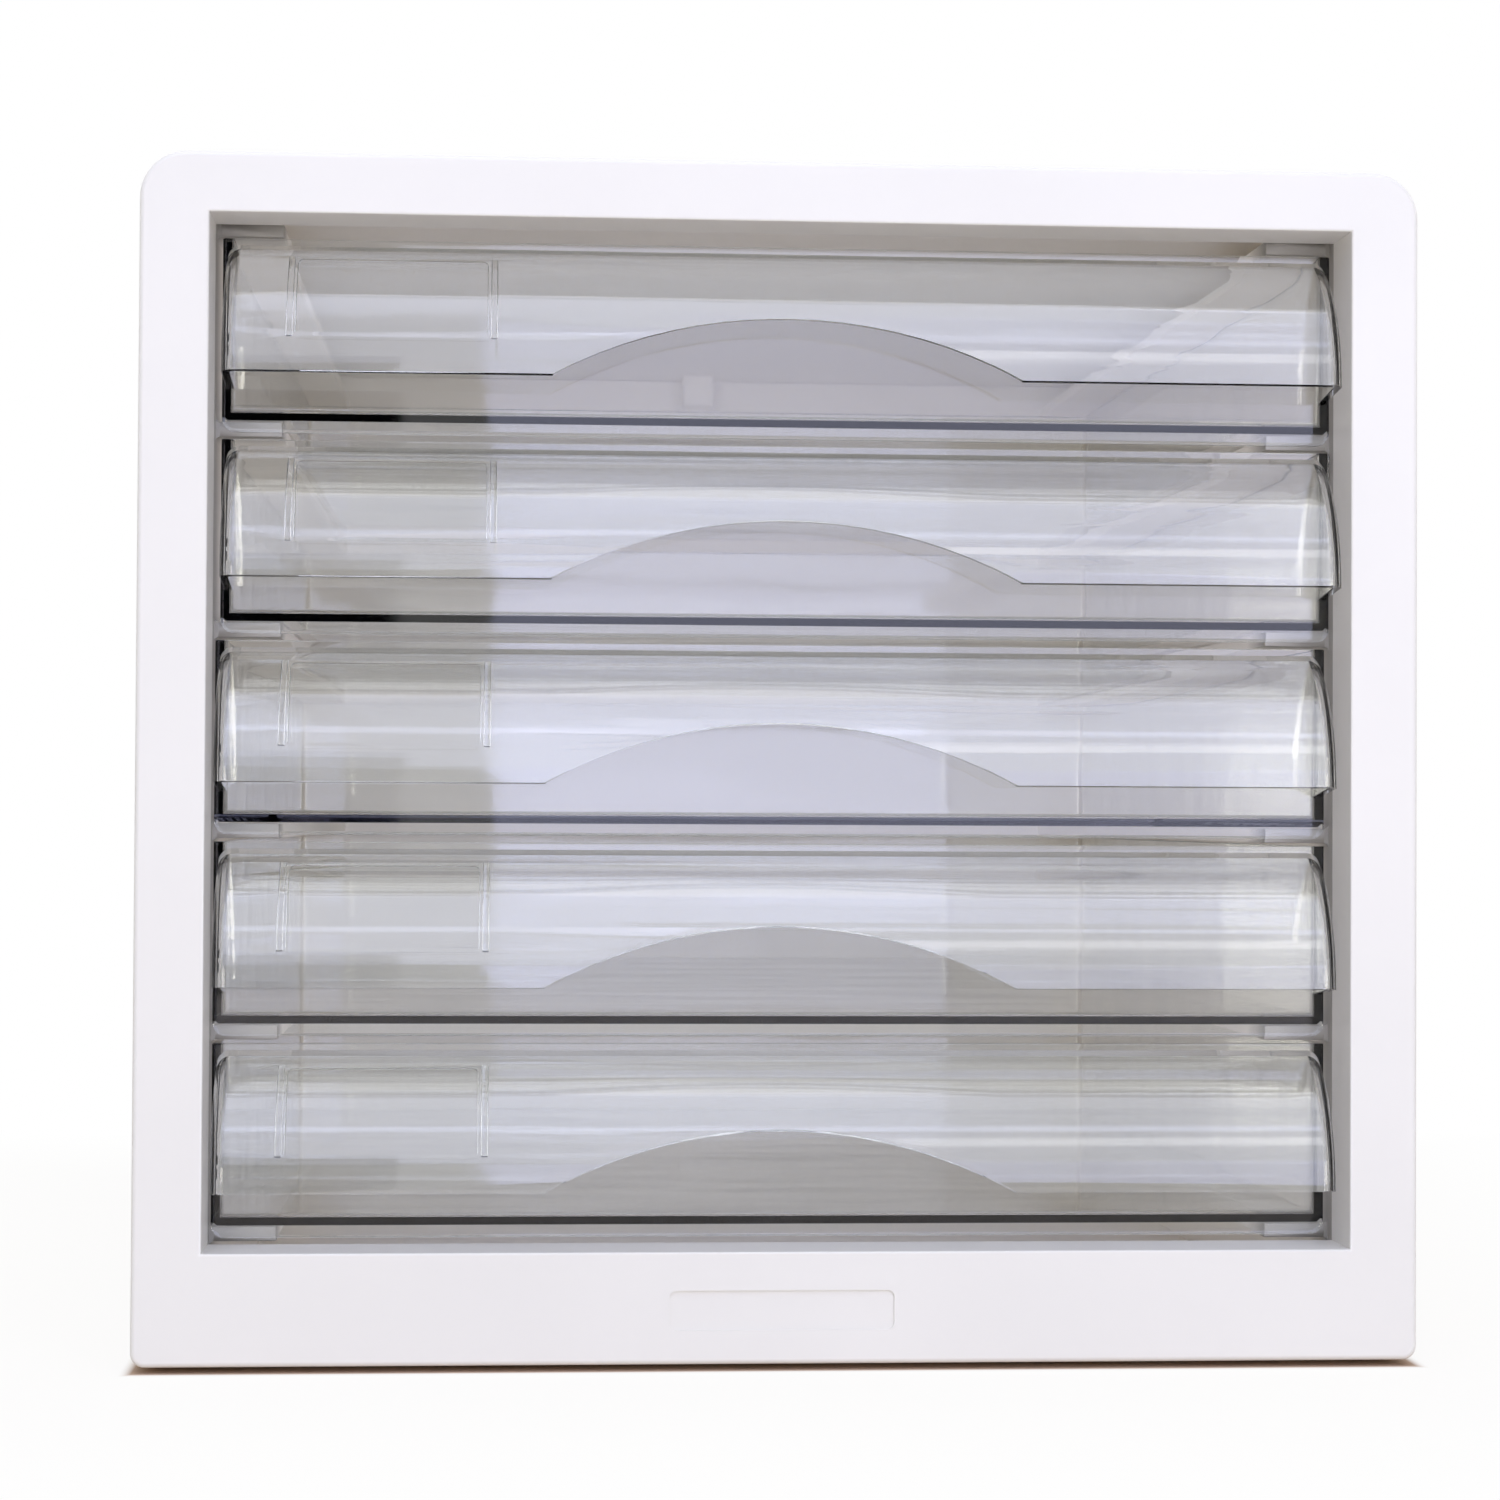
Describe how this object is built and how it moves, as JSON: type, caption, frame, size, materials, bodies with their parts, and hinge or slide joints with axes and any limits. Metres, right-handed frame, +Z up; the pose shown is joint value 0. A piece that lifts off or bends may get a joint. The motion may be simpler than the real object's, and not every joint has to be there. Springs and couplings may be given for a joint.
{
  "type": "desktop drawer case",
  "caption": "Desktop case with clear pull-out drawers for A4 or letter paper, each with a hooded front and a finger arch, in a white plastic body on rubber feet.",
  "frame": {"origin": "on the surface that the feet stand on, under the middle of the case's box", "axes": "+Z up, -Y out of the front where the drawers open, +X to the right seen from the front"},
  "size_m": [0.275, 0.346, 0.2582],
  "materials": {
    "case_plastic": "moulded white polystyrene, satin",
    "drawer_plastic": "clear moulded polystyrene, faint grey-green tint, polished",
    "foot_rubber": "matte",
    "screw_steel": "zinc plated"
  },
  "bodies": {
    "cabinet": {"front_frame": "case_plastic", "top_panel": "case_plastic", "left_side_panel": "case_plastic", "right_side_panel": "case_plastic", "base_panel": "case_plastic", "back_panel": "case_plastic", "left_runner_rack": "case_plastic", "right_runner_rack": "case_plastic", "foot_front_left": "foot_rubber", "foot_front_right": "foot_rubber", "foot_rear_left": "foot_rubber", "foot_rear_right": "foot_rubber", "back_panel_screws": "screw_steel", "base_panel_screws": "screw_steel"},
    "drawer_1": {"drawer_1": "drawer_plastic"},
    "drawer_2": {"drawer_2": "drawer_plastic"},
    "drawer_3": {"drawer_3": "drawer_plastic"},
    "drawer_4": {"drawer_4": "drawer_plastic"},
    "drawer_5": {"drawer_5": "drawer_plastic"}
  },
  "joints": [
    {"name": "drawer_1_slide", "type": "slide", "parent": "cabinet", "child": "drawer_1", "axis": [0, -1, 0], "range_m": [0, 0.25]},
    {"name": "drawer_2_slide", "type": "slide", "parent": "cabinet", "child": "drawer_2", "axis": [0, -1, 0], "range_m": [0, 0.25]},
    {"name": "drawer_3_slide", "type": "slide", "parent": "cabinet", "child": "drawer_3", "axis": [0, -1, 0], "range_m": [0, 0.25]},
    {"name": "drawer_4_slide", "type": "slide", "parent": "cabinet", "child": "drawer_4", "axis": [0, -1, 0], "range_m": [0, 0.25]},
    {"name": "drawer_5_slide", "type": "slide", "parent": "cabinet", "child": "drawer_5", "axis": [0, -1, 0], "range_m": [0, 0.25]}
  ]
}
